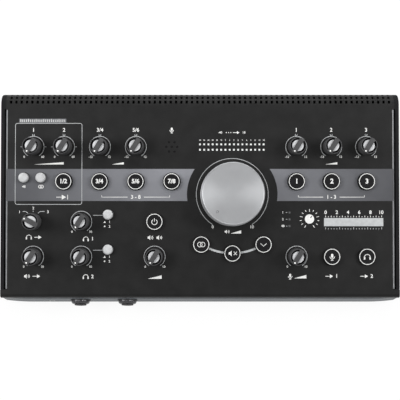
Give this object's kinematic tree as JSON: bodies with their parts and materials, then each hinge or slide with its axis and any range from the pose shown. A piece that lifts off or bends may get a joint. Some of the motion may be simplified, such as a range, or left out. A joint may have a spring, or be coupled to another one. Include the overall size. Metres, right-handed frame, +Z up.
{
  "type": "studio monitor controller",
  "caption": "Desktop studio monitor controller: sloped panel with a large volume knob, small knobs, round buttons and light dots, vented rear roll, and audio sockets front and rear.",
  "frame": {"origin": "on the table under the middle of the whole thing, sockets included", "axes": "+X to the user's right along the width, +Y from the user to the rear panel, +Z up"},
  "size_m": [0.396, 0.2092, 0.0903],
  "materials": {
    "cover_paint": "fine textured charcoal powder coat",
    "cheek_moulding": "fine grained charcoal moulding",
    "fascia_paint": "satin blue-grey paint",
    "floor_paint": "black powder coat",
    "rear_paint": "black textured paint",
    "board_laminate": "green solder mask over glass laminate",
    "component_case": "black moulded component",
    "light_lens": "clear moulded light pipe",
    "standoff_metal": "plated turned metal",
    "socket_moulding": "black glass-filled moulding",
    "socket_shell": "pressed plated shell",
    "washer_metal": "plated washer",
    "nut_metal": "plated ring nut",
    "switch_moulding": "black moulding",
    "screw_steel": "blackened steel",
    "foot_rubber": "moulded black rubber",
    "turned_aluminium": "turned face with a bright rim",
    "shaft_steel": "turned shaft",
    "knob_moulding": "dark grey moulding with light grey half-moons",
    "button_moulding": "soft-touch charcoal cap",
    "white_button": "white moulded cap"
  },
  "bodies": {
    "root": {"base_pan": "floor_paint", "board_link": "board_laminate", "case_screws": "screw_steel", "combo_jacks": "socket_moulding", "control_board": "board_laminate", "floor_standoffs": "standoff_metal", "front_fascia": "fascia_paint", "left_cheek": "cheek_moulding", "line_jacks": "socket_moulding", "meter_lights": "light_lens", "microphone": "component_case", "panel_standoffs": "standoff_metal", "phone_jacks": "socket_moulding", "phone_nuts": "nut_metal", "phone_washers": "washer_metal", "pot_bodies": "component_case", "power_inlet": "socket_moulding", "rear_panel": "rear_paint", "right_cheek": "cheek_moulding", "rubber_feet": "foot_rubber", "socket_board": "board_laminate", "status_lights": "light_lens", "switch_bodies": "component_case", "switch_case": "switch_moulding", "top_cover": "cover_paint", "usb_socket": "socket_shell", "volume_pot": "component_case"},
    "knob_gain_1": {"knob_gain_1": "knob_moulding"},
    "knob_gain_2": {"knob_gain_2": "knob_moulding"},
    "knob_trim_3_4": {"knob_trim_3_4": "knob_moulding"},
    "knob_trim_5_6": {"knob_trim_5_6": "knob_moulding"},
    "knob_trim_a": {"knob_trim_a": "knob_moulding"},
    "knob_trim_b": {"knob_trim_b": "knob_moulding"},
    "knob_trim_c": {"knob_trim_c": "knob_moulding"},
    "knob_cue_source": {"knob_cue_source": "knob_moulding"},
    "knob_phones_1": {"knob_phones_1": "knob_moulding"},
    "knob_phones_2": {"knob_phones_2": "knob_moulding"},
    "knob_direct_monitoring": {"knob_direct_monitoring": "knob_moulding"},
    "knob_studio_level": {"knob_studio_level": "knob_moulding"},
    "knob_talkback_level": {"knob_talkback_level": "knob_moulding"},
    "volume": {"volume_knob": "turned_aluminium", "volume_shaft": "shaft_steel"},
    "button_source_1_2": {"button_source_1_2": "button_moulding"},
    "button_source_3_4": {"button_source_3_4": "button_moulding"},
    "button_source_5_6": {"button_source_5_6": "button_moulding"},
    "button_source_computer": {"button_source_computer": "button_moulding"},
    "button_monitor_a": {"button_monitor_a": "button_moulding"},
    "button_monitor_b": {"button_monitor_b": "button_moulding"},
    "button_monitor_c": {"button_monitor_c": "button_moulding"},
    "button_studio_on": {"button_studio_on": "button_moulding"},
    "button_mono": {"button_mono": "button_moulding"},
    "button_mute": {"button_mute": "button_moulding"},
    "button_dim": {"button_dim": "button_moulding"},
    "button_talk_to_track": {"button_talk_to_track": "button_moulding"},
    "button_talk_to_cue": {"button_talk_to_cue": "button_moulding"},
    "button_phantom": {"button_phantom": "white_button"},
    "button_stereo_link": {"button_stereo_link": "white_button"},
    "button_phones_1_source": {"button_phones_1_source": "white_button"},
    "button_phones_2_source": {"button_phones_2_source": "white_button"},
    "rocker": {"power_rocker": "switch_moulding"}
  },
  "joints": [
    {"name": "turn_gain_1", "type": "hinge", "parent": "root", "child": "knob_gain_1", "pos_m": [-0.1655, 0.04741, 0.06771], "axis": [0, 0.1994, -0.9799], "range_deg": [0, 296]},
    {"name": "turn_gain_2", "type": "hinge", "parent": "root", "child": "knob_gain_2", "pos_m": [-0.1352, 0.04741, 0.06771], "axis": [0, 0.1994, -0.9799], "range_deg": [0, 296]},
    {"name": "turn_trim_3_4", "type": "hinge", "parent": "root", "child": "knob_trim_3_4", "pos_m": [-0.0995, 0.04741, 0.06771], "axis": [0, 0.1994, -0.9799], "range_deg": [0, 296]},
    {"name": "turn_trim_5_6", "type": "hinge", "parent": "root", "child": "knob_trim_5_6", "pos_m": [-0.0638, 0.04741, 0.06771], "axis": [0, 0.1994, -0.9799], "range_deg": [0, 296]},
    {"name": "turn_trim_a", "type": "hinge", "parent": "root", "child": "knob_trim_a", "pos_m": [0.0957, 0.04741, 0.06771], "axis": [0, 0.1994, -0.9799], "range_deg": [0, 296]},
    {"name": "turn_trim_b", "type": "hinge", "parent": "root", "child": "knob_trim_b", "pos_m": [0.1304, 0.04741, 0.06771], "axis": [0, 0.1994, -0.9799], "range_deg": [0, 296]},
    {"name": "turn_trim_c", "type": "hinge", "parent": "root", "child": "knob_trim_c", "pos_m": [0.1651, 0.04741, 0.06771], "axis": [0, 0.1994, -0.9799], "range_deg": [0, 296]},
    {"name": "turn_cue_source", "type": "hinge", "parent": "root", "child": "knob_cue_source", "pos_m": [-0.1655, -0.0255, 0.05287], "axis": [0, 0.1994, -0.9799], "range_deg": [0, 124]},
    {"name": "turn_phones_1", "type": "hinge", "parent": "root", "child": "knob_phones_1", "pos_m": [-0.1178, -0.0255, 0.05287], "axis": [0, 0.1994, -0.9799], "range_deg": [0, 296]},
    {"name": "turn_phones_2", "type": "hinge", "parent": "root", "child": "knob_phones_2", "pos_m": [-0.1178, -0.0594, 0.04598], "axis": [0, 0.1994, -0.9799], "range_deg": [0, 296]},
    {"name": "turn_direct_monitoring", "type": "hinge", "parent": "root", "child": "knob_direct_monitoring", "pos_m": [-0.1655, -0.0594, 0.04598], "axis": [0, 0.1994, -0.9799], "range_deg": [0, 296]},
    {"name": "turn_studio_level", "type": "hinge", "parent": "root", "child": "knob_studio_level", "pos_m": [-0.045, -0.0594, 0.04598], "axis": [0, 0.1994, -0.9799], "range_deg": [0, 296]},
    {"name": "turn_talkback_level", "type": "hinge", "parent": "root", "child": "knob_talkback_level", "pos_m": [0.0957, -0.0594, 0.04598], "axis": [0, 0.1994, -0.9799], "range_deg": [0, 296]},
    {"name": "turn_volume", "type": "hinge", "parent": "root", "child": "volume", "pos_m": [0.032, 0.00106, 0.05828], "axis": [0, 0.1994, -0.9799], "range_deg": [0, 280]},
    {"name": "press_source_1_2", "type": "slide", "parent": "root", "child": "button_source_1_2", "axis": [0, 0.1994, -0.9799], "range_m": [0, 0.0015], "stiffness_N_per_m": 800, "springref_m": -0.0004},
    {"name": "press_source_3_4", "type": "slide", "parent": "root", "child": "button_source_3_4", "axis": [0, 0.1994, -0.9799], "range_m": [0, 0.0015], "stiffness_N_per_m": 800, "springref_m": -0.0004},
    {"name": "press_source_5_6", "type": "slide", "parent": "root", "child": "button_source_5_6", "axis": [0, 0.1994, -0.9799], "range_m": [0, 0.0015], "stiffness_N_per_m": 800, "springref_m": -0.0004},
    {"name": "press_source_computer", "type": "slide", "parent": "root", "child": "button_source_computer", "axis": [0, 0.1994, -0.9799], "range_m": [0, 0.0015], "stiffness_N_per_m": 800, "springref_m": -0.0004},
    {"name": "press_monitor_a", "type": "slide", "parent": "root", "child": "button_monitor_a", "axis": [0, 0.1994, -0.9799], "range_m": [0, 0.0015], "stiffness_N_per_m": 800, "springref_m": -0.0004},
    {"name": "press_monitor_b", "type": "slide", "parent": "root", "child": "button_monitor_b", "axis": [0, 0.1994, -0.9799], "range_m": [0, 0.0015], "stiffness_N_per_m": 800, "springref_m": -0.0004},
    {"name": "press_monitor_c", "type": "slide", "parent": "root", "child": "button_monitor_c", "axis": [0, 0.1994, -0.9799], "range_m": [0, 0.0015], "stiffness_N_per_m": 800, "springref_m": -0.0004},
    {"name": "press_studio_on", "type": "slide", "parent": "root", "child": "button_studio_on", "axis": [0, 0.1994, -0.9799], "range_m": [0, 0.0015], "stiffness_N_per_m": 800, "springref_m": -0.0004},
    {"name": "press_mono", "type": "slide", "parent": "root", "child": "button_mono", "axis": [0, 0.1994, -0.9799], "range_m": [0, 0.0015], "stiffness_N_per_m": 800, "springref_m": -0.0004},
    {"name": "press_mute", "type": "slide", "parent": "root", "child": "button_mute", "axis": [0, 0.1994, -0.9799], "range_m": [0, 0.0015], "stiffness_N_per_m": 800, "springref_m": -0.0004},
    {"name": "press_dim", "type": "slide", "parent": "root", "child": "button_dim", "axis": [0, 0.1994, -0.9799], "range_m": [0, 0.0015], "stiffness_N_per_m": 800, "springref_m": -0.0004},
    {"name": "press_talk_to_track", "type": "slide", "parent": "root", "child": "button_talk_to_track", "axis": [0, 0.1994, -0.9799], "range_m": [0, 0.0015], "stiffness_N_per_m": 800, "springref_m": -0.0004},
    {"name": "press_talk_to_cue", "type": "slide", "parent": "root", "child": "button_talk_to_cue", "axis": [0, 0.1994, -0.9799], "range_m": [0, 0.0015], "stiffness_N_per_m": 800, "springref_m": -0.0004},
    {"name": "press_phantom", "type": "slide", "parent": "root", "child": "button_phantom", "axis": [0, 0.1994, -0.9799], "range_m": [0, 0.0025], "stiffness_N_per_m": 800, "springref_m": -0.0004},
    {"name": "press_stereo_link", "type": "slide", "parent": "root", "child": "button_stereo_link", "axis": [0, 0.1994, -0.9799], "range_m": [0, 0.0025], "stiffness_N_per_m": 800, "springref_m": -0.0004},
    {"name": "press_phones_1_source", "type": "slide", "parent": "root", "child": "button_phones_1_source", "axis": [0, 0.1994, -0.9799], "range_m": [0, 0.0025], "stiffness_N_per_m": 800, "springref_m": -0.0004},
    {"name": "press_phones_2_source", "type": "slide", "parent": "root", "child": "button_phones_2_source", "axis": [0, 0.1994, -0.9799], "range_m": [0, 0.0025], "stiffness_N_per_m": 800, "springref_m": -0.0004},
    {"name": "switch_power", "type": "hinge", "parent": "root", "child": "rocker", "pos_m": [0.16, 0.0982, 0.034], "axis": [-1, 0, 0], "range_deg": [0, 14]}
  ]
}
